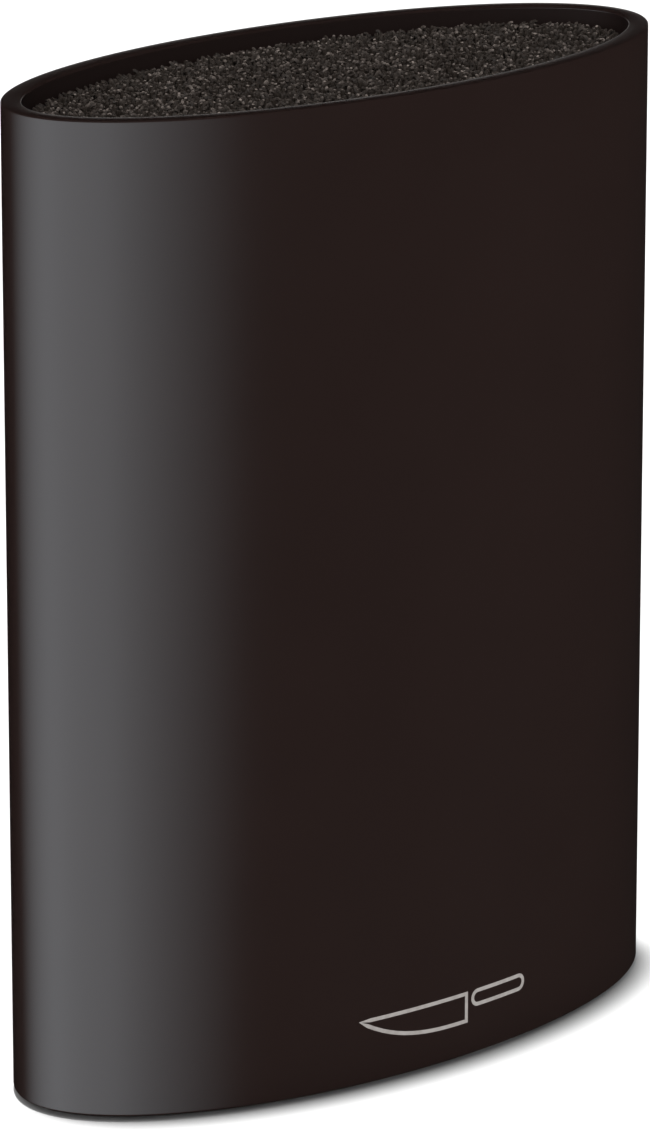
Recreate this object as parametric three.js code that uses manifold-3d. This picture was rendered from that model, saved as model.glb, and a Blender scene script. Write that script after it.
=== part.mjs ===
// Oval universal knife block: a moulded outer shell with a flat rim, closed below by a screwed base
// plate on four rubber feet, and a lift-out insert. The insert is a thin liner cup packed with upright
// plastic filaments that are fused into one slab at their roots, so a blade slides in anywhere.
// Millimetres, +Z up, origin on the floor at the middle of the oval, +X along its long axis.
import * as THREE from 'three';
import { mergeVertices } from 'three/addons/utils/BufferGeometryUtils.js';
import Module from 'manifold-3d';

// Driving dimensions
const HEIGHT = 225; // floor to the top of the rim
const LENGTH = 180; // long axis of the oval
const WIDTH = 82; // short axis of the oval
const OVAL_SIDES = 80;
const ROUND_SIDES = 20;
const GAP = 0.3; // room left between pieces that touch

// Outer shell
const SHELL_WALL = 2.4;
const SHELL_LOW = 1.2; // the shell's lower edge stays just clear of the floor
const RIM_WIDTH = 4.6; // flat ledge round the opening, wall included
const RIM_THICK = 2.6;
const SKIRT_WALL = 1.4; // lip that hangs from the inner edge of the rim and guides the liner
const SKIRT_DEPTH = 9;
const RIB_WALL = 1.6;
const RIB_LOW = 30;
const RIB_HIGH = 190;
const RIB_ANGLES = [50, 90, 130, 230, 270, 310]; // where the guide ribs stand round the oval, degrees

// Base plate, screws and feet
const BASE_LOW = 2;
const BASE_THICK = 3;
const POST_ANGLES = { right_back: 30, left_back: 150, left_front: 210, right_front: 330 };
const POST_INSET = 9; // screw axis to the outside of the shell
const POST_RADIUS = 4.2;
const POST_HIGH = 15;
const SCREW_RADIUS = 1.3;
const SCREW_LENGTH = 10;
const HEAD_RADIUS = 2.8;
const HEAD_THICK = 1.2;
const CROSS_ARM = 3.4;
const CROSS_WIDTH = 0.7;
const CROSS_DEPTH = 0.7;
const FOOT_RADIUS = 6;
const FOOT_TAPER = 0.6;
const FOOT_THICK = 3.2;
const FOOT_X = 52;
const FOOT_Y = 16;

// Lift-out insert
const LINER_INSET = RIM_WIDTH + 0.35; // sliding clearance to the rim's skirt
const LINER_WALL = 1.1;
const LINER_FLOOR = 1.8;
const LINER_DROP = 4.5; // liner edge below the rim, out of sight under the filament tips
const DRAIN_RADIUS = 2.5;
const DRAIN_X = [-48, -24, 0, 24, 48];
const ROOT_THICK = 6; // filaments fused together at their lower ends
const TUFT_DROP = 3; // filament tips below the rim
const TUFT_PITCH = 15; // spacing of the tufts, each of which stands for over a hundred filaments
const TUFT_GAP = 4.2; // open way between neighbouring tufts, for the room that the filaments leave
const TUFT_LEAST = 0.3; // a tuft cut by the liner to less than this share of its section is left out

const POST_LOW = BASE_LOW + BASE_THICK + GAP;
const LINER_LOW = POST_HIGH + GAP;
const LINER_TOP = HEIGHT - LINER_DROP;
const ROOT_LOW = LINER_LOW + LINER_FLOOR + GAP;
const TUFT_LOW = ROOT_LOW + ROOT_THICK + GAP;
const TUFT_TOP = HEIGHT - TUFT_DROP;
const FILL_INSET = LINER_INSET + LINER_WALL + GAP;
const OVER = 5; // how far a cutting solid runs past the face that it cuts

const SHELL_BLACK = { color: 0x251b19, roughness: 0.42, metalness: 0 };
const LINER_BLACK = { color: 0x1c1a1a, roughness: 0.5, metalness: 0 };
const FILAMENT_GREY = { color: 0x2c2a2a, roughness: 0.55, metalness: 0 };
const RUBBER = { color: 0x161616, roughness: 0.9, metalness: 0 };
const STEEL = { color: 0xa8a9ab, roughness: 0.35, metalness: 1 };

const wasm = await Module();
wasm.setup();

// Booleans: three.js geometry into a manifold solid and back
function solid(geometry) {
  const bare = geometry.clone();
  bare.deleteAttribute('normal');
  bare.deleteAttribute('uv');
  const merged = mergeVertices(bare, 1e-4);
  return new wasm.Manifold(new wasm.Mesh({
    numProp: 3,
    vertProperties: new Float32Array(merged.attributes.position.array),
    triVerts: new Uint32Array(merged.index.array),
  }));
}

function geometryOf(manifold) {
  const mesh = manifold.getMesh();
  const geometry = new THREE.BufferGeometry();
  geometry.setAttribute('position', new THREE.BufferAttribute(mesh.vertProperties, mesh.numProp));
  geometry.setIndex(new THREE.BufferAttribute(mesh.triVerts, 1));
  geometry.computeVertexNormals();
  return geometry;
}

// A point on the oval's outline, moved inwards square to it, and the outward direction there
function ovalPoint(angle, inset) {
  const [a, b] = [LENGTH / 2, WIDTH / 2];
  const outward = new THREE.Vector2(Math.cos(angle) / a, Math.sin(angle) / b).normalize();
  const point = new THREE.Vector2(a * Math.cos(angle), b * Math.sin(angle));
  return { point: point.addScaledVector(outward, -inset), outward };
}

function ovalShape(inset) {
  const points = [];
  for (let i = 0; i < OVAL_SIDES; i++) {
    points.push(ovalPoint((i / OVAL_SIDES) * 2 * Math.PI, inset).point);
  }
  return new THREE.Shape(points);
}

// Upright prisms, from one height to another
function upright(shape, low, high) {
  const geometry = new THREE.ExtrudeGeometry(shape, { depth: high - low, bevelEnabled: false });
  return geometry.translate(0, 0, low);
}

const oval = (inset, low, high) => solid(upright(ovalShape(inset), low, high));

function round(radius, low, high, x = 0, y = 0, sides = ROUND_SIDES) {
  const geometry = new THREE.CylinderGeometry(radius, radius, high - low, sides);
  return solid(geometry.rotateX(Math.PI / 2).translate(x, y, (low + high) / 2));
}

const joined = (solids) => solids.reduce((whole, piece) => whole.add(piece));

const screwPlaces = Object.entries(POST_ANGLES).map(([name, degrees]) => {
  const { point, outward } = ovalPoint(THREE.MathUtils.degToRad(degrees), POST_INSET);
  return { name, x: point.x, y: point.y, outward };
});

const footPlaces = [];
for (const [side, x] of [['left', -FOOT_X], ['right', FOOT_X]]) {
  for (const [face, y] of [['front', -FOOT_Y], ['back', FOOT_Y]]) {
    footPlaces.push({ name: `${side}_${face}`, x, y });
  }
}

// Outer shell: oval sleeve, rim with a hanging skirt, screw posts low down and guide ribs for the liner
function outerShell() {
  const cavityTop = HEIGHT - RIM_THICK;
  let shell = oval(0, SHELL_LOW, HEIGHT).subtract(oval(SHELL_WALL, SHELL_LOW - OVER, cavityTop));
  const skirt = oval(RIM_WIDTH - SKIRT_WALL, HEIGHT - SKIRT_DEPTH, HEIGHT - RIM_THICK / 2);
  shell = shell.add(skirt).subtract(oval(RIM_WIDTH, SHELL_LOW, HEIGHT + OVER));

  const posts = screwPlaces.map(({ x, y, outward }) => {
    const web = new THREE.BoxGeometry(POST_INSET, 2 * POST_RADIUS, POST_HIGH - POST_LOW);
    web.translate(POST_INSET / 2, 0, (POST_LOW + POST_HIGH) / 2).rotateZ(outward.angle()).translate(x, y, 0);
    return round(POST_RADIUS, POST_LOW, POST_HIGH, x, y).add(solid(web));
  });
  shell = shell.add(joined(posts).intersect(oval(SHELL_WALL / 2, SHELL_LOW, POST_HIGH)));
  for (const { x, y } of screwPlaces) {
    shell = shell.subtract(round(SCREW_RADIUS + GAP, POST_LOW - OVER, POST_HIGH - 1, x, y));
  }

  const ribs = RIB_ANGLES.map((degrees) => {
    const { point, outward } = ovalPoint(THREE.MathUtils.degToRad(degrees), RIM_WIDTH / 2);
    const rib = new THREE.BoxGeometry(2 * RIM_WIDTH, RIB_WALL, RIB_HIGH - RIB_LOW);
    return solid(rib.rotateZ(outward.angle()).translate(point.x, point.y, (RIB_LOW + RIB_HIGH) / 2));
  });
  const ribSpace = oval(SHELL_WALL / 2, RIB_LOW - OVER, RIB_HIGH + OVER)
    .subtract(oval(RIM_WIDTH, RIB_LOW - 2 * OVER, RIB_HIGH + 2 * OVER));
  return shell.add(joined(ribs).intersect(ribSpace));
}

// Base plate: closes the shell, with counterbored screw holes, recesses for the feet and drain holes
function basePlate() {
  const top = BASE_LOW + BASE_THICK;
  let plate = oval(SHELL_WALL + GAP, BASE_LOW, top);
  for (const { x, y } of screwPlaces) {
    plate = plate.subtract(round(SCREW_RADIUS + GAP, BASE_LOW - OVER, top + OVER, x, y));
    plate = plate.subtract(round(HEAD_RADIUS + GAP, BASE_LOW - OVER, BASE_LOW + HEAD_THICK + GAP, x, y));
  }
  for (const { x, y } of footPlaces) {
    plate = plate.subtract(round(FOOT_RADIUS + GAP, BASE_LOW - OVER, FOOT_THICK + GAP, x, y));
  }
  return plate.subtract(drains(BASE_LOW - OVER, top + OVER));
}

const drains = (low, high) => joined(DRAIN_X.map((x) => round(DRAIN_RADIUS, low, high, x)));

// Pan-head screw, head down, standing on the origin, with a cross recess in the head
function screw() {
  const profile = [
    [0, 0], [HEAD_RADIUS * 0.85, 0], [HEAD_RADIUS, HEAD_THICK * 0.35], [HEAD_RADIUS, HEAD_THICK],
    [SCREW_RADIUS, HEAD_THICK], [SCREW_RADIUS, SCREW_LENGTH - SCREW_RADIUS], [0, SCREW_LENGTH],
  ].map(([r, z]) => new THREE.Vector2(r, z));
  let body = solid(new THREE.LatheGeometry(profile, ROUND_SIDES).rotateX(Math.PI / 2));
  for (const [x, y] of [[CROSS_ARM, CROSS_WIDTH], [CROSS_WIDTH, CROSS_ARM]]) {
    body = body.subtract(solid(new THREE.BoxGeometry(x, y, 2 * CROSS_DEPTH)));
  }
  return body;
}

// Rubber foot: a disc with a tapered lower edge, standing on the floor
function foot() {
  const profile = [
    [0, 0], [FOOT_RADIUS - FOOT_TAPER, 0], [FOOT_RADIUS, FOOT_TAPER], [FOOT_RADIUS, FOOT_THICK],
    [0, FOOT_THICK],
  ].map(([r, z]) => new THREE.Vector2(r, z));
  return solid(new THREE.LatheGeometry(profile, ROUND_SIDES).rotateX(Math.PI / 2));
}

// Liner cup of the insert, open above, with drain holes in its floor
function insertLiner() {
  const cup = oval(LINER_INSET, LINER_LOW, LINER_TOP);
  const inside = oval(LINER_INSET + LINER_WALL, LINER_LOW + LINER_FLOOR, LINER_TOP + OVER);
  return cup.subtract(inside).subtract(drains(LINER_LOW - OVER, LINER_LOW + 2 * LINER_FLOOR));
}

// Slab that the filaments are fused into at their lower ends
function rootSlab() {
  const top = ROOT_LOW + ROOT_THICK;
  return oval(FILL_INSET, ROOT_LOW, top).subtract(drains(ROOT_LOW - OVER, top + OVER));
}

// Tufts of upright filaments, on a honeycomb grid, trimmed to the inside of the liner
function tufts() {
  const radius = (TUFT_PITCH - TUFT_GAP) / Math.sqrt(3);
  const rowPitch = TUFT_PITCH * Math.sin(Math.PI / 3);
  const inside = oval(FILL_INSET, TUFT_LOW - OVER, TUFT_TOP + OVER);
  const rows = Math.ceil(WIDTH / 2 / rowPitch);
  const columns = Math.ceil(LENGTH / 2 / TUFT_PITCH);
  const found = [];
  for (let row = -rows; row <= rows; row++) {
    for (let column = -columns; column <= columns; column++) {
      const x = (column + (row % 2 ? 0.5 : 0)) * TUFT_PITCH;
      const whole = round(radius, TUFT_LOW, TUFT_TOP, x, row * rowPitch, 6);
      const trimmed = whole.intersect(inside);
      if (trimmed.volume() > TUFT_LEAST * whole.volume()) found.push(trimmed);
    }
  }
  return found;
}

const block = new THREE.Group();
const insert = new THREE.Group();
block.add(insert);

function piece(group, name, manifold, look, x = 0, y = 0, z = 0) {
  const mesh = new THREE.Mesh(geometryOf(manifold), new THREE.MeshStandardMaterial(look));
  mesh.name = name;
  mesh.position.set(x, y, z);
  group.add(mesh);
}

piece(block, 'outer_shell', outerShell(), SHELL_BLACK);
piece(block, 'base_plate', basePlate(), SHELL_BLACK);
for (const { name, x, y } of screwPlaces) {
  piece(block, `base_screw_${name}`, screw(), STEEL, x, y, BASE_LOW);
}
for (const { name, x, y } of footPlaces) {
  piece(block, `foot_${name}`, foot(), RUBBER, x, y, 0);
}
piece(insert, 'insert_liner', insertLiner(), LINER_BLACK);
piece(insert, 'filament_root_slab', rootSlab(), FILAMENT_GREY);
tufts().forEach((tuft, i) => {
  piece(insert, `filament_tuft_${String(i + 1).padStart(2, '0')}`, tuft, FILAMENT_GREY);
});

export default block;
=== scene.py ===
"""Oval universal knife block, empty: a dark satin shell round a lift-out insert of upright filaments.

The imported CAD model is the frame. The shell, liner, feet and filaments are rebuilt here with smooth
curves, rounded edges and single filaments, and the CAD plate, slab and screws get finished materials.
The printed mark on the front is made only here.
Metres, +Z up, the same frame as the CAD model.
"""
import math

import bpy
import numpy as np
from mathutils import Euler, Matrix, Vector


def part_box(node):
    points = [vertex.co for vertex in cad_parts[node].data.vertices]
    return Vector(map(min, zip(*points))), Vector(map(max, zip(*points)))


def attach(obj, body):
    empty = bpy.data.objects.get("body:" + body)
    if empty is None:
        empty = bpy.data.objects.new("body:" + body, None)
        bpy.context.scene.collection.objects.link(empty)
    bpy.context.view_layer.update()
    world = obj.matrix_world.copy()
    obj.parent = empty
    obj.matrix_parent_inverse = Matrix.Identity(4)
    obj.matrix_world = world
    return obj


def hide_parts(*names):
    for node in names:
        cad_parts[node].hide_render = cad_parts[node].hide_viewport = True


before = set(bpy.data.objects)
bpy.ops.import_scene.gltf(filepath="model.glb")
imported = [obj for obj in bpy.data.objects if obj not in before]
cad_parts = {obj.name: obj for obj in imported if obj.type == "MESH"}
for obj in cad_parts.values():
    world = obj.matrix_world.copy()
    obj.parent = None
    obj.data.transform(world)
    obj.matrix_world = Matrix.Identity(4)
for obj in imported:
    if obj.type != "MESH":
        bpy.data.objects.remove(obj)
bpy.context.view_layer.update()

MM = 0.001
rng = np.random.default_rng(11)

# How fine the meshes are
SHELL_SIDES = 320  # round the oval
TURNED_SIDES = 64  # round a foot
HOLE_SIDES = 32  # round a post or a hole
ARC_STEPS = 5  # points on a rounded edge
SHARP_ANGLE = 30  # edges that turn by more stay sharp, degrees
JOIN_GAP = 0.1 * MM  # keeps the faces of joined shapes out of one plane

# The frame's own sizes
SHELL_LOW, SHELL_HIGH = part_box("outer_shell")
LINER_LOW, LINER_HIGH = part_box("insert_liner")
PLATE_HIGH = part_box("base_plate")[1]
SLAB_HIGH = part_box("filament_root_slab")[1]
HALF_LENGTH, HALF_WIDTH, HEIGHT = SHELL_HIGH
TUFTS = sorted(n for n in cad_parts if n.startswith("filament_tuft"))
FEET = sorted(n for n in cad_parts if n.startswith("foot"))
SCREWS = sorted(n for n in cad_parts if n.startswith("base_screw"))
LINER_INSET = HALF_LENGTH - LINER_HIGH.x
FILL_INSET = HALF_LENGTH - SLAB_HIGH.x

# Shell
SHELL_WALL = 2.4 * MM
RIM_WIDTH = 4.6 * MM
RIM_THICK = 2.6 * MM
SKIRT_WALL = 1.4 * MM
SKIRT_DEPTH = 9 * MM
RIM_EDGE = 0.4 * MM  # rounding of the rim's outer edge
MOUTH_EDGE = 0.5 * MM  # rounding of the rim's inner edge
LOWER_EDGE = 0.6 * MM  # rounding of the wall's lower outer edge
POST_ANGLES = [30, 150, 210, 330]  # screw posts round the oval, degrees
POST_INSET = 9 * MM
POST_RADIUS = 4.2 * MM
POST_LOW = PLATE_HIGH.z + 0.3 * MM
POST_HIGH = 15 * MM
POST_HOLE = 1.6 * MM  # radius of the screw hole
POST_CAP = 1 * MM  # left solid above the screw hole
RIB_ANGLES = [50, 90, 130, 230, 270, 310]  # guide ribs for the liner
RIB_WALL = 1.6 * MM
RIB_LOW = 30 * MM
RIB_HIGH = 190 * MM

# Printed mark: the outline of a knife, low on the front
MARK_TIP = -28 * MM  # along the block
MARK_HEEL = 3 * MM
MARK_HANDLE = 5 * MM
MARK_END = 22 * MM
MARK_LOW = 9.5 * MM
MARK_HIGH = 16 * MM
MARK_STROKE = 0.9 * MM
MARK_THICK = 0.06 * MM  # half of it stands proud of the shell
MARK_BACK_POINTS = 12
MARK_EDGE_POINTS = 16
MARK_END_POINTS = 12  # round each end of the handle
MARK_SIDE_POINTS = 10  # along each side of the handle

# Liner
LINER_WALL = 1.1 * MM
LINER_FLOOR = 1.8 * MM
LINER_EDGE = 0.5 * MM  # rounding on both sides of the upper edge
LINER_LOWER_EDGE = 1 * MM
DRAIN_RADIUS = 2.5 * MM
DRAIN_X = [-48 * MM, -24 * MM, 0, 24 * MM, 48 * MM]
DRILL_OVER = 2 * MM  # how far the drills reach below the floor

# Feet
FOOT_ROUNDING = 0.8 * MM
FOOT_ARC_STEPS = 6
FOOT_HOLLOW = 0.5 * MM  # depth of the hollow under a foot
FOOT_HOLLOW_SIZE = 0.45  # of the foot's radius
FOOT_HOLLOW_TAPER = 0.6  # size at its inner end over size at its mouth

# Filaments
FILAMENT_PITCH = 1.22 * MM
FILAMENT_RADIUS = 0.4 * MM
FILAMENT_SIDES = 5
FILAMENT_JITTER = 0.3 * MM
FILAMENT_SMOOTH = 60  # edges that turn by more stay sharp, degrees
THICKNESS_SPREAD = (0.8, 1.1)  # of the radius
TIP_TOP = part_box(TUFTS[0])[1].z  # mean height of the tips
TIP_SPREAD = 0.4 * MM  # how much the tips' heights differ
TIP_TAPER = 0.75  # radius of the cut end over the filament's
CURL_STEPS = 4
CURL_RADIUS = (0.4, 1.1)  # of the bend at the tip, mm
LEAST_BEND = 15  # at the tip, degrees
MORE_BEND = 135  # at most, added to it, degrees
EDGE_RING = 1.4 * MM  # filaments this close to the liner lean out over its edge
EDGE_BEND = math.radians(75)
EDGE_CURL_RADIUS = (1.0, 2.2)  # mm
EDGE_DROP = 0.5 * MM  # how much lower they end
EDGE_FAN = 0.4  # spread of their headings, radians
EDGE_SHADED_HIGHLIGHT = 0.3  # painted shade: the painted tip highlight of these filaments is cut to this share, as if in the rim's shadow

# Stage: distances in metres
FLOOR_HALF = 3.0
FLOOR_LIGHT_ENERGY = 8.2
FLOOR_LIGHT_ANGLE = math.radians(2.2)
FLOOR_LIGHT_TILT = (math.radians(-1.0), math.radians(-0.25), 0)
WORLD_STRENGTH = 1.15
PANEL_RADIUS = 0.8
PANEL_STEPS = 128
PANEL_FADE = 0.2  # lost along the middle of a panel

# Camera: long lens, distances in heights of the block
CAMERA_BEARING = math.radians(42.7)
CAMERA_PITCH = math.radians(15.54)
CAMERA_AWAY = 6.354
CAMERA_UP = 2.248
CAMERA_ASIDE = 0.0087
CAMERA_LENS = 208.2  # mm
CAMERA_SENSOR = 36  # mm

SHELL_BROWN = ((0.0166, 0.0094, 0.0082), (0.0177, 0.0101, 0.0088))
LINER_BLACK = ((0.0125, 0.0095, 0.0085), (0.016, 0.012, 0.011))


# ---------------------------------------------------------------- shapes

def outward(angle):
    """The direction square to the outline."""
    nx, ny = np.cos(angle) / HALF_LENGTH, np.sin(angle) / HALF_WIDTH
    size = np.hypot(nx, ny)
    return nx / size, ny / size


def oval(angle, inset):
    """Points on the shell's outline moved inwards square to it."""
    nx, ny = outward(angle)
    return HALF_LENGTH * np.cos(angle) - inset * nx, HALF_WIDTH * np.sin(angle) - inset * ny


def inside_oval(x, y, inset):
    """Whether points lie inside the outline moved inwards, which is convex."""
    angles = np.linspace(0, 2 * math.pi, SHELL_SIDES, endpoint=False)
    edge_x, edge_y = oval(angles, inset)
    nx, ny = outward(angles)
    return ((x[:, None] - edge_x) * nx + (y[:, None] - edge_y) * ny < 0).all(1)


def corner(inset, z, radius, start, turn):
    """A quarter-round corner of a profile: its centre, radius, first direction and turn, in degrees."""
    angles = np.radians(np.linspace(start, start + turn, ARC_STEPS))
    return [(inset - radius * math.cos(a), z + radius * math.sin(a)) for a in angles]


def new_object(name, verts, faces, sharp_angle=SHARP_ANGLE):
    """A mesh object in the scene, shaded smooth between its sharp edges."""
    mesh = bpy.data.meshes.new(name)
    mesh.from_pydata([tuple(v) for v in verts], [], faces)
    mesh.validate()
    mesh.update()
    obj = bpy.data.objects.new(name, mesh)
    bpy.context.scene.collection.objects.link(obj)
    mesh.shade_smooth()
    mesh.set_sharp_from_angle(angle=math.radians(sharp_angle))
    return obj


def ring_faces(rows, sides, capped):
    """Faces between rings of points: the last ring joins the first, or both ends are capped."""
    faces = []
    for row in range(rows - 1 if capped else rows):
        a, b = row * sides, (row + 1) % rows * sides
        for i in range(sides):
            j = (i + 1) % sides
            faces.append((a + i, a + j, b + j, b + i))
    if capped:
        faces.append(tuple(reversed(range(sides))))
        faces.append(tuple((rows - 1) * sides + i for i in range(sides)))
    return faces


def swept_oval(name, profile, capped=False):
    """A profile of (inset, z) points carried round the oval: a closed ring, or capped at both ends."""
    angles = np.linspace(0, 2 * math.pi, SHELL_SIDES, endpoint=False)
    verts = []
    for inset, z in profile:
        x, y = oval(angles, inset)
        verts += zip(x, y, np.full(SHELL_SIDES, z))
    return new_object(name, verts, ring_faces(len(profile), SHELL_SIDES, capped))


def turned(name, profile, centre, sides):
    """A solid of revolution about an upright axis, from (radius, z) points, capped at both ends."""
    angles = np.linspace(0, 2 * math.pi, sides, endpoint=False)
    verts = []
    for r, z in profile:
        verts += zip(centre[0] + r * np.cos(angles), centre[1] + r * np.sin(angles), np.full(sides, z))
    return new_object(name, verts, ring_faces(len(profile), sides, True))


def wall_bar(name, degrees, deep, shallow, width, low, high):
    """An upright bar square to the wall, from one inset to another."""
    nx, ny = outward(math.radians(degrees))
    verts = []
    for z in (low, high):
        for inset, side in ((deep, -1), (shallow, -1), (shallow, 1), (deep, 1)):
            x, y = oval(math.radians(degrees), inset)
            verts.append((x - side * ny * width / 2, y + side * nx * width / 2, z))
    return new_object(name, verts, ring_faces(2, 4, True))


def boolean(obj, tools, operation):
    """Cuts or joins the tools into obj, and removes them."""
    for tool in tools:
        modifier = obj.modifiers.new("boolean", "BOOLEAN")
        modifier.operation = operation
        modifier.solver = "EXACT"
        modifier.object = tool
    evaluated = obj.evaluated_get(bpy.context.evaluated_depsgraph_get())
    mesh = bpy.data.meshes.new_from_object(evaluated)
    obj.modifiers.clear()
    obj.data = mesh
    mesh.shade_smooth()
    mesh.set_sharp_from_angle(angle=math.radians(SHARP_ANGLE))
    for tool in tools:
        bpy.data.objects.remove(tool)
    return obj


# ---------------------------------------------------------------- materials

class Nodes:
    """A material's node tree, with short ways to add and join nodes."""

    def __init__(self, name):
        self.material = bpy.data.materials.new(name)
        self.material.use_nodes = True
        self.tree = self.material.node_tree
        self.shader = self.tree.nodes["Principled BSDF"]
        self.place = self.add("ShaderNodeTexCoord").outputs["Object"]

    def add(self, kind, **values):
        node = self.tree.nodes.new(kind)
        for key, value in values.items():
            setattr(node, key, value)
        return node

    def link(self, output, node, socket):
        self.tree.links.new(output, node.inputs[socket])

    def set(self, **values):
        """Sets the shader's own sockets."""
        for key, value in values.items():
            self.shader.inputs[key.replace("_", " ")].default_value = value

    def noise(self, scale, detail=2.0, stretch=(1, 1, 1), roughness=0.5):
        mapping = self.add("ShaderNodeMapping")
        mapping.inputs["Scale"].default_value = stretch
        self.link(self.place, mapping, "Vector")
        noise = self.add("ShaderNodeTexNoise")
        noise.inputs["Scale"].default_value = scale
        noise.inputs["Detail"].default_value = detail
        noise.inputs["Roughness"].default_value = roughness
        self.link(mapping.outputs["Vector"], noise, "Vector")
        return noise.outputs["Fac"]

    def spread(self, value, low, high, out_low, out_high):
        """Carries a value from one range to another, held at the ends."""
        node = self.add("ShaderNodeMapRange")
        limits = {"From Min": low, "From Max": high, "To Min": out_low, "To Max": out_high}
        for name, number in limits.items():
            node.inputs[name].default_value = number
        self.link(value, node, "Value")
        return node.outputs["Result"]

    def math(self, operation, a, b):
        node = self.add("ShaderNodeMath", operation=operation)
        for i, value in enumerate((a, b)):
            if isinstance(value, (int, float)):
                node.inputs[i].default_value = value
            else:
                self.link(value, node, i)
        return node.outputs["Value"]

    def mix(self, amount, a, b):
        node = self.add("ShaderNodeMix", data_type="RGBA")
        self.link(amount, node, "Factor")
        for socket, value in ((6, a), (7, b)):
            if isinstance(value, tuple):
                node.inputs[socket].default_value = (*value, 1)
            else:
                self.link(value, node, socket)
        return node.outputs[2]

    def bump(self, heights):
        """Bumps laid over each other, as (height, strength, distance in metres)."""
        below = None
        for height, strength, distance in heights:
            node = self.add("ShaderNodeBump")
            node.inputs["Strength"].default_value = strength
            node.inputs["Distance"].default_value = distance
            self.link(height, node, "Height")
            if below is not None:
                self.link(below, node, "Normal")
            below = node.outputs["Normal"]
        self.link(below, self.shader, "Normal")

    def color(self, output):
        self.link(output, self.shader, "Base Color")

    def rough(self, output):
        self.link(output, self.shader, "Roughness")


def moulded_plastic(name, colors, rough_low, rough_high, wear=0.0, specular=0.5):
    """Injection-moulded plastic: spark-eroded grain and faint flow mottling; wear rubs the edges paler."""
    dark, light = colors
    n = Nodes(name)
    mottle = n.spread(n.noise(38, 4), 0.3, 0.7, 0, 1)
    fine = n.noise(1900, 2)
    body = n.mix(mottle, dark, light)
    if wear:
        worn = n.spread(n.add("ShaderNodeNewGeometry").outputs["Pointiness"], 0.52, 0.60, 0, wear)
        body = n.mix(worn, body, tuple(2.2 * c for c in light))
    n.color(body)
    smudge = n.spread(n.noise(14, 3, (1, 1, 0.5)), 0.35, 0.7, rough_low, rough_high)
    n.rough(n.math("ADD", smudge, n.spread(fine, 0.3, 0.7, -0.02, 0.02)))
    n.bump([(n.noise(2600, 3, roughness=0.6), 0.1, 0.05 * MM), (n.noise(60, 2), 0.03, 0.2 * MM)])
    n.set(Specular_IOR_Level=specular)
    return n.material


def filament_plastic():
    """Extruded filament, grey-black: each one has its own random tone, which sets how strongly a painted
    highlight pales its cut tip.
    """
    n = Nodes("filament_plastic")
    tone = n.add("ShaderNodeAttribute", attribute_name="tone").outputs["Fac"]
    # Painted highlight on the cut ends: a ramp from 0 at the root to 1 at the cut end pales the filament
    # towards the tip colour
    tip_highlight = n.add("ShaderNodeAttribute", attribute_name="tip_highlight").outputs["Fac"]
    streak = n.spread(n.noise(900, 2, (1, 1, 0.15)), 0.35, 0.65, 0, 1)
    body = n.mix(streak, (0.036, 0.028, 0.0225), (0.047, 0.036, 0.030))
    # Painted highlight colour of the tips, paler for filaments of higher tone
    tip_highlight_color = n.mix(tone, (0.040, 0.031, 0.026), (0.27, 0.225, 0.20))
    n.color(n.mix(tip_highlight, body, tip_highlight_color))
    n.rough(n.spread(n.noise(1500, 2), 0.3, 0.7, 0.34, 0.5))
    n.bump([(n.noise(2200, 2, (1, 1, 0.2)), 0.25, 0.05 * MM)])
    n.set(Specular_IOR_Level=0.25)
    return n.material


def print_ink():
    """Pad-printed ink, warm pale grey, a little thin in places."""
    n = Nodes("print_ink")
    thin = n.spread(n.noise(700, 3), 0.35, 0.65, 0, 1)
    n.color(n.mix(thin, (0.30, 0.275, 0.26), (0.36, 0.335, 0.32)))
    n.rough(n.spread(n.noise(1600, 2), 0.3, 0.7, 0.45, 0.6))
    n.bump([(n.noise(2400, 2), 0.1, 0.02 * MM)])
    n.set(Specular_IOR_Level=0.2)
    return n.material


def rubber():
    """Moulded rubber, matt, with a fine pitted skin, darker in the pits and paler on the raised grain."""
    n = Nodes("foot_rubber")
    pits = n.noise(1300, 4, roughness=0.65)
    n.color(n.mix(n.spread(pits, 0.4, 0.7, 0, 1), (0.009, 0.009, 0.009), (0.028, 0.027, 0.026)))
    n.rough(n.spread(n.noise(120, 3), 0.3, 0.7, 0.78, 0.95))
    n.bump([(pits, 0.3, 0.1 * MM)])
    return n.material


def plated_steel():
    """Zinc-plated screw steel: fine turning marks and cloudy plating."""
    n = Nodes("plated_steel")
    cloud = n.spread(n.noise(500, 3), 0.3, 0.7, 0, 1)
    n.color(n.mix(cloud, (0.50, 0.50, 0.51), (0.68, 0.67, 0.65)))
    n.rough(n.spread(n.noise(1400, 2, (1, 1, 6)), 0.3, 0.7, 0.22, 0.42))
    n.bump([(n.noise(1800, 1, (1, 1, 8)), 0.15, 0.03 * MM)])
    n.set(Metallic=1.0)
    return n.material


def floor_white():
    """Matt backdrop paper, almost even."""
    n = Nodes("floor_white")
    n.color(n.mix(n.noise(3, 2), (0.34, 0.34, 0.34), (0.36, 0.36, 0.36)))
    n.set(Roughness=0.9, Specular_IOR_Level=0.0)
    return n.material


def dress(obj, material):
    """Gives a piece or a CAD node one material."""
    obj.data.materials.clear()
    obj.data.materials.append(material)
    return obj


# ---------------------------------------------------------------- pieces

def shell_profile():
    """Outer face, rounded rim edge, flat ledge, rounded mouth, skirt and inner face, in order."""
    low, top = SHELL_LOW.z, HEIGHT
    profile = corner(LOWER_EDGE, low + LOWER_EDGE, LOWER_EDGE, 270, 90)
    profile += corner(RIM_EDGE, top - RIM_EDGE, RIM_EDGE, 0, 90)
    profile += corner(RIM_WIDTH - MOUTH_EDGE, top - MOUTH_EDGE, MOUTH_EDGE, 90, 90)
    profile += [(RIM_WIDTH, top - SKIRT_DEPTH), (RIM_WIDTH - SKIRT_WALL, top - SKIRT_DEPTH)]
    profile += [(RIM_WIDTH - SKIRT_WALL, top - RIM_THICK), (SHELL_WALL, top - RIM_THICK)]
    profile += [(SHELL_WALL, low)]
    return profile


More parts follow.
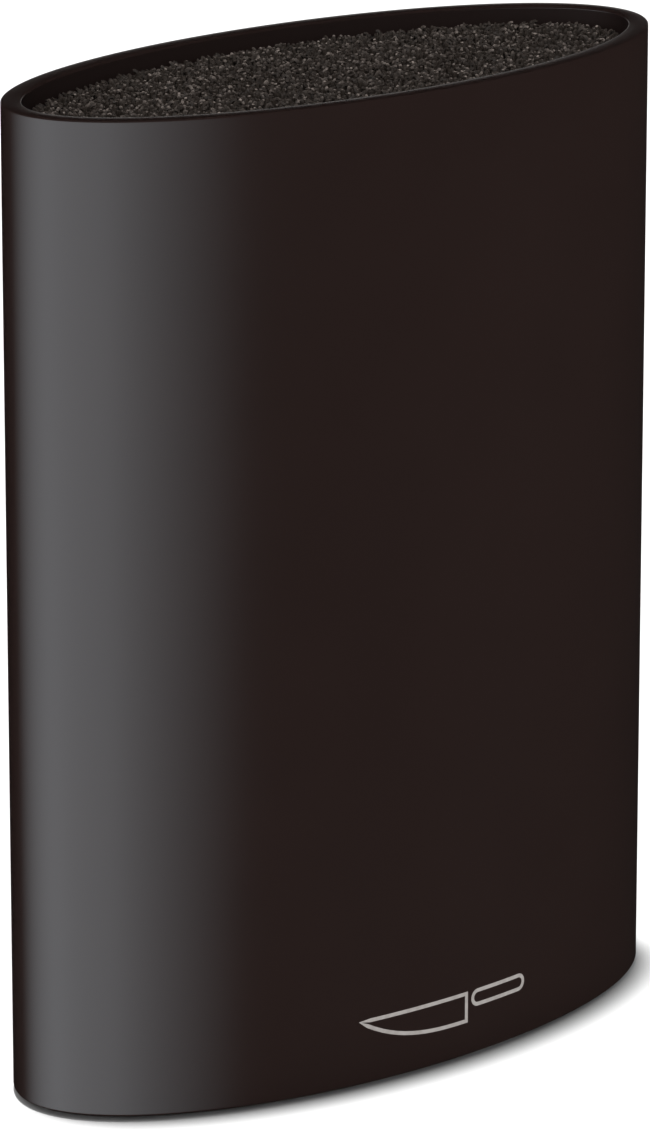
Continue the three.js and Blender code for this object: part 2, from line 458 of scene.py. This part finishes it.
def outer_shell(satin, matt):
    """Sleeve with its screw posts and guide ribs: satin outside and on the rim, matt within."""
    shell = swept_oval("shell_sleeve", shell_profile())
    joins, holes = [], []
    for i, degrees in enumerate(POST_ANGLES):
        centre = oval(math.radians(degrees), POST_INSET)
        post = [(POST_RADIUS, POST_LOW), (POST_RADIUS, POST_HIGH)]
        hole = [(POST_HOLE, SHELL_LOW.z), (POST_HOLE, POST_HIGH - POST_CAP)]
        joins.append(turned(f"post_{i}", post, centre, HOLE_SIDES))
        joins.append(wall_bar(f"web_{i}", degrees, POST_INSET, SHELL_WALL / 2, 2 * POST_RADIUS - JOIN_GAP,
                              POST_LOW, POST_HIGH - JOIN_GAP))
        holes.append(turned(f"hole_{i}", hole, centre, HOLE_SIDES))
    for i, degrees in enumerate(RIB_ANGLES):
        joins.append(wall_bar(f"rib_{i}", degrees, RIM_WIDTH, SHELL_WALL / 2, RIB_WALL, RIB_LOW, RIB_HIGH))
    boolean(shell, joins, "UNION")
    boolean(shell, holes, "DIFFERENCE")
    dress(shell, satin)
    shell.data.materials.append(matt)
    # Matt are the faces behind the outer face and its lower edge, up to the rounding of the mouth
    middles = np.empty(3 * len(shell.data.polygons), np.float32)
    shell.data.polygons.foreach_get("center", middles)
    x, y, z = middles.reshape(-1, 3).T
    within = inside_oval(x, y, 2 * LOWER_EDGE) & (z < HEIGHT - MOUTH_EDGE)
    shell.data.polygons.foreach_set("material_index", within.astype(np.int32))
    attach(shell, "shell")
    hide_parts("outer_shell")


def printed_stroke(name, path, material):
    """A closed stroke of ink on the front of the shell, along a path of (x, z) points."""
    path = np.array(path)
    ahead = np.roll(path, -1, 0) - path
    ahead /= np.linalg.norm(ahead, axis=1)[:, None]
    normal = np.stack([-ahead[:, 1], ahead[:, 0]], 1)
    mitre = normal + np.roll(normal, 1, 0)
    mitre /= np.maximum((mitre * normal).sum(1), 0.7)[:, None]
    rings = []
    for side, proud in ((-1, -1), (-1, 1), (1, 1), (1, -1)):
        x, z = (path + side * MARK_STROKE / 2 * mitre).T
        front_x, front_y = oval(-np.arccos(x / HALF_LENGTH), -proud * MARK_THICK / 2)
        rings.append(np.stack([front_x, front_y, z], 1))
    stroke = new_object(name, np.concatenate(rings), ring_faces(4, len(path), False))
    dress(stroke, material)
    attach(stroke, "shell")


def knife_mark(material):
    """A plain knife in outline: a blade with a straight back and a curved edge, and a rounded handle."""
    back = [(x, MARK_HIGH) for x in np.linspace(MARK_TIP, MARK_HEEL, MARK_BACK_POINTS)]
    along = np.linspace(0, 1, MARK_EDGE_POINTS)
    edge_x = MARK_HEEL + along * (MARK_TIP - MARK_HEEL)
    edge_z = MARK_LOW + along ** 3 * (MARK_HIGH - MARK_LOW)
    edge = list(zip(edge_x, edge_z))
    printed_stroke("mark_blade", (back + edge[:-1])[::-1], material)
    radius = (MARK_HIGH - MARK_LOW) / 4
    middle = MARK_HIGH - radius
    handle = []
    left, right = MARK_HANDLE + radius, MARK_END - radius
    for centre, start, other in ((right, -90, left), (left, 90, right)):
        for angle in np.radians(np.linspace(start, start + 180, MARK_END_POINTS)):
            handle.append((centre + radius * math.cos(angle), middle + radius * math.sin(angle)))
        side = handle[-1][1]
        handle += [(x, side) for x in np.linspace(centre, other, MARK_SIDE_POINTS)[1:-1]]
    printed_stroke("mark_handle", handle, material)


def insert_liner(material):
    """Thin cup with a rounded edge and drain holes in the floor."""
    low, top, edge = LINER_LOW.z, LINER_HIGH.z, LINER_EDGE
    profile = corner(LINER_INSET + LINER_LOWER_EDGE, low + LINER_LOWER_EDGE, LINER_LOWER_EDGE, 270, 90)
    profile += corner(LINER_INSET + edge, top - edge, edge, 0, 90)
    profile += corner(LINER_INSET + LINER_WALL - edge, top - edge, edge, 90, 90)
    profile += [(LINER_INSET + LINER_WALL, low + LINER_FLOOR)]
    liner = swept_oval("liner_cup", profile, capped=True)
    drill = [(DRAIN_RADIUS, low - DRILL_OVER), (DRAIN_RADIUS, low + 2 * LINER_FLOOR)]
    drills = [turned(f"drill_{i}", drill, (x, 0), HOLE_SIDES) for i, x in enumerate(DRAIN_X)]
    boolean(liner, drills, "DIFFERENCE")
    dress(liner, material)
    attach(liner, "insert")
    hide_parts("insert_liner")


def foot(node, material):
    """Rubber foot with a rounded lower edge and a shallow hollow underneath."""
    low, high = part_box(node)
    radius = (high.x - low.x) / 2
    centre = ((low.x + high.x) / 2, (low.y + high.y) / 2)
    hollow = radius * FOOT_HOLLOW_SIZE
    profile = [(hollow * FOOT_HOLLOW_TAPER, low.z + FOOT_HOLLOW), (hollow, low.z)]
    for angle in np.radians(np.linspace(-90, 0, FOOT_ARC_STEPS)):
        rounded = radius - FOOT_ROUNDING + FOOT_ROUNDING * math.cos(angle)
        profile.append((rounded, low.z + FOOT_ROUNDING + FOOT_ROUNDING * math.sin(angle)))
    profile.append((radius, high.z))
    piece = turned(node + "_rubber", profile, centre, TURNED_SIDES)
    dress(piece, material)
    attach(piece, "shell")
    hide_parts(node)


def filament_places():
    """A jittered honeycomb of root points inside the liner."""
    row_pitch = FILAMENT_PITCH * math.sin(math.pi / 3)
    rows = np.arange(-HALF_WIDTH, HALF_WIDTH, row_pitch)
    columns = np.arange(-HALF_LENGTH, HALF_LENGTH, FILAMENT_PITCH)
    x, y = np.meshgrid(columns, rows)
    x = x + (np.arange(len(rows)) % 2)[:, None] * FILAMENT_PITCH / 2
    x, y = x.ravel(), y.ravel()
    x = x + rng.uniform(-FILAMENT_JITTER, FILAMENT_JITTER, x.size)
    y = y + rng.uniform(-FILAMENT_JITTER, FILAMENT_JITTER, y.size)
    keep = inside_oval(x, y, FILL_INSET + FILAMENT_RADIUS)
    return x[keep], y[keep]


def filament_bundle(name, x, y):
    """Upright filaments from the root slab, each leaning or curling over at its tip in its own direction."""
    count = x.size
    away = np.arctan2(y / HALF_WIDTH ** 2, x / HALF_LENGTH ** 2)
    edge = ~inside_oval(x, y, FILL_INSET + FILAMENT_RADIUS + EDGE_RING)
    heading = np.where(edge, away + rng.normal(0, EDGE_FAN, count), rng.uniform(0, 2 * math.pi, count))
    curl = np.where(edge, rng.uniform(*EDGE_CURL_RADIUS, count), rng.uniform(*CURL_RADIUS, count)) * MM
    bend = np.where(edge, EDGE_BEND, np.radians(LEAST_BEND + MORE_BEND * rng.uniform(0, 1, count) ** 2))
    reach = curl * (1 - np.cos(bend))
    tip_x, tip_y = x + reach * np.cos(heading), y + reach * np.sin(heading)
    out = ~inside_oval(tip_x, tip_y, RIM_WIDTH + FILAMENT_RADIUS)
    heading = np.where(out, away + math.pi, heading)
    rise = curl * np.sin(np.minimum(bend, math.pi / 2))
    top = TIP_TOP + rng.normal(0, TIP_SPREAD, count).clip(-3 * TIP_SPREAD, 2 * TIP_SPREAD)
    top = np.where(edge, top - EDGE_DROP, top)
    neck = top - rise - FILAMENT_RADIUS
    radius = FILAMENT_RADIUS * rng.uniform(*THICKNESS_SPREAD, count)
    around = np.linspace(0, 2 * math.pi, FILAMENT_SIDES, endpoint=False)[:, None]
    upright = np.zeros(count)

    def ring(out_by, z, tilt, size):
        """One ring of each filament: its middle moved out by so much, tilted over, of a given radius."""
        east, north = np.cos(heading), np.sin(heading)
        over = size * np.cos(around) * np.cos(tilt)
        beside = size * np.sin(around)
        points = [x + out_by * east + over * east - beside * north,
                  y + out_by * north + over * north + beside * east,
                  z - size * np.cos(around) * np.sin(tilt)]
        return np.stack(points, 2).transpose(1, 0, 2)

    rings = [ring(upright, np.full(count, SLAB_HIGH.z), upright, radius)]
    for step in range(CURL_STEPS + 1):
        tilt = bend * step / CURL_STEPS
        size = radius * (TIP_TAPER if step == CURL_STEPS else 1)
        rings.append(ring(curl * (1 - np.cos(tilt)), neck + curl * np.sin(tilt), tilt, size))
    verts = np.stack(rings, 1).reshape(-1, 3)
    own = ring_faces(len(rings), FILAMENT_SIDES, True)
    per = len(rings) * FILAMENT_SIDES
    faces = [tuple(k * per + v for v in face) for k in range(count) for face in own]
    bundle = new_object(name, verts, faces, FILAMENT_SMOOTH)
    # Random strength of each filament's painted tip highlight, cut down near the liner's edge as painted
    # shade from the rim
    tone = rng.uniform(0, 1, count) ** 4 * np.where(edge, EDGE_SHADED_HIGHLIGHT, 1)
    # Painted highlight: each filament is paled more and more towards its cut end
    tip_highlight = [0] + [(step / CURL_STEPS) ** 2 for step in range(CURL_STEPS + 1)]
    layers = {"tone": np.repeat(tone, per), "tip_highlight": np.tile(np.repeat(tip_highlight, FILAMENT_SIDES), count)}
    for title, values in layers.items():
        attribute = bundle.data.attributes.new(title, "FLOAT", "POINT")
        attribute.data.foreach_set("value", values.astype(np.float32))
    return bundle


def filaments(material):
    """Each CAD tuft is replaced by the filaments nearest to it."""
    x, y = filament_places()
    centres = []
    for node in TUFTS:
        low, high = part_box(node)
        centres.append(((low.x + high.x) / 2, (low.y + high.y) / 2))
    centres = np.array(centres)
    away = (x[:, None] - centres[:, 0]) ** 2 + (y[:, None] - centres[:, 1]) ** 2
    nearest = away.argmin(1)
    for i, node in enumerate(TUFTS):
        own = nearest == i
        bundle = filament_bundle(node.replace("tuft", "bundle"), x[own], y[own])
        dress(bundle, material)
        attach(bundle, "insert")
        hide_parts(node)


# ---------------------------------------------------------------- stage, lights and camera

def stage_floor():
    """Pale floor, with a soft light of its own from straight above that draws the block's contact shadow."""
    half = FLOOR_HALF
    corners = [(-half, -half, 0), (half, -half, 0), (half, half, 0), (-half, half, 0)]
    floor = new_object("floor", corners, [(0, 1, 2, 3)])
    dress(floor, floor_white())
    floor.visible_glossy = False
    floor.visible_shadow = False
    lit = bpy.data.collections.new("floor_only")
    lit.objects.link(floor)
    light = bpy.data.lights.new("floor_light", "SUN")
    light.energy = FLOOR_LIGHT_ENERGY
    light.angle = FLOOR_LIGHT_ANGLE
    lamp = bpy.data.objects.new("floor_light", light)
    lamp.rotation_euler = Euler(FLOOR_LIGHT_TILT)
    lamp.light_linking.receiver_collection = lit
    bpy.context.scene.collection.objects.link(lamp)


def world_light():
    """Even white light from all round, left out of reflections."""
    world = bpy.data.worlds.new("studio")
    world.use_nodes = True
    background = world.node_tree.nodes["Background"]
    background.inputs["Color"].default_value = (1, 1, 1, 1)
    background.inputs["Strength"].default_value = WORLD_STRENGTH
    world.cycles_visibility.glossy = False
    bpy.context.scene.world = world


def softbox(name, first, last, low, high, strength, rise, fall, tint):
    """A curved light panel round the block, seen only in reflections, from one bearing to another, in
    degrees, and from a low to a high edge, in metres. It grows bright over rise, fades a little along
    the middle and dies away over fall."""
    bearings = np.linspace(first, last, PANEL_STEPS)
    verts = []
    for bearing in np.radians(bearings):
        x, y = PANEL_RADIUS * math.cos(bearing), PANEL_RADIUS * math.sin(bearing)
        verts += [(x, y, low), (x, y, high)]
    faces = [(2 * i, 2 * i + 1, 2 * i + 3, 2 * i + 2) for i in range(PANEL_STEPS - 1)]
    panel = new_object(name, verts, faces)
    rising = np.clip((bearings - first) / rise, 0, 1)
    falling = np.clip((last - bearings) / fall, 0, 1)
    middle = np.clip((bearings - first - rise) / (last - fall - first - rise), 0, 1)
    glow = (rising * rising * (3 - 2 * rising)) * falling * (1 - PANEL_FADE * middle)
    attribute = panel.data.attributes.new("glow", "FLOAT", "POINT")
    attribute.data.foreach_set("value", np.repeat(glow, 2).astype(np.float32))
    n = Nodes(name + "_light")
    emission = n.add("ShaderNodeEmission")
    emission.inputs["Color"].default_value = (*tint, 1)
    level = n.math("MULTIPLY", n.add("ShaderNodeAttribute", attribute_name="glow").outputs["Fac"], strength)
    n.link(level, emission, "Strength")
    n.link(emission.outputs["Emission"], n.tree.nodes["Material Output"], "Surface")
    n.material.cycles.emission_sampling = "NONE"
    dress(panel, n.material)
    panel.visible_camera = False
    panel.visible_diffuse = False
    panel.visible_shadow = False


def camera():
    """Long lens from the front left, well above the rim."""
    east, north = math.sin(CAMERA_BEARING), math.cos(CAMERA_BEARING)
    away, up, aside = CAMERA_AWAY * HEIGHT, CAMERA_UP * HEIGHT, CAMERA_ASIDE * HEIGHT
    data = bpy.data.cameras.new("camera")
    data.sensor_width = CAMERA_SENSOR
    data.lens = CAMERA_LENS
    cam = bpy.data.objects.new("camera", data)
    cam.location = (-aside * north - away * east, aside * east - away * north, up)
    cam.rotation_euler = Euler((math.pi / 2 - CAMERA_PITCH, 0, -CAMERA_BEARING))
    bpy.context.scene.collection.objects.link(cam)
    bpy.context.scene.camera = cam


camera()
outer_plastic = moulded_plastic("shell_plastic", SHELL_BROWN, rough_low=0.19, rough_high=0.24, wear=0.35)
inner_plastic = moulded_plastic("inner_plastic", SHELL_BROWN, rough_low=0.5, rough_high=0.6, specular=0.12)
liner_plastic = moulded_plastic("liner_plastic", LINER_BLACK, rough_low=0.38, rough_high=0.48)
bristle_plastic = filament_plastic()
outer_shell(outer_plastic, inner_plastic)
knife_mark(print_ink())
insert_liner(liner_plastic)
filaments(bristle_plastic)
foot_rubber = rubber()
for node in FEET:
    foot(node, foot_rubber)
dress(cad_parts["base_plate"], liner_plastic)
dress(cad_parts["filament_root_slab"], bristle_plastic)
steel = plated_steel()
for node in SCREWS:
    dress(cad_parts[node], steel)

stage_floor()
world_light()
softbox("left_softbox", first=104, last=269, low=-0.7, high=0.4, strength=2.62, rise=70, fall=50,
        tint=(0.87, 0.94, 1.0))
softbox("right_fill", first=290, last=440, low=-0.7, high=0.15, strength=0.022, rise=30, fall=30,
        tint=(1.0, 0.75, 0.70))
softbox("back_light", first=20, last=80, low=0.2, high=0.3, strength=0.45, rise=15, fall=15,
        tint=(1.0, 0.95, 0.92))
bpy.context.scene.view_settings.view_transform = "Standard"
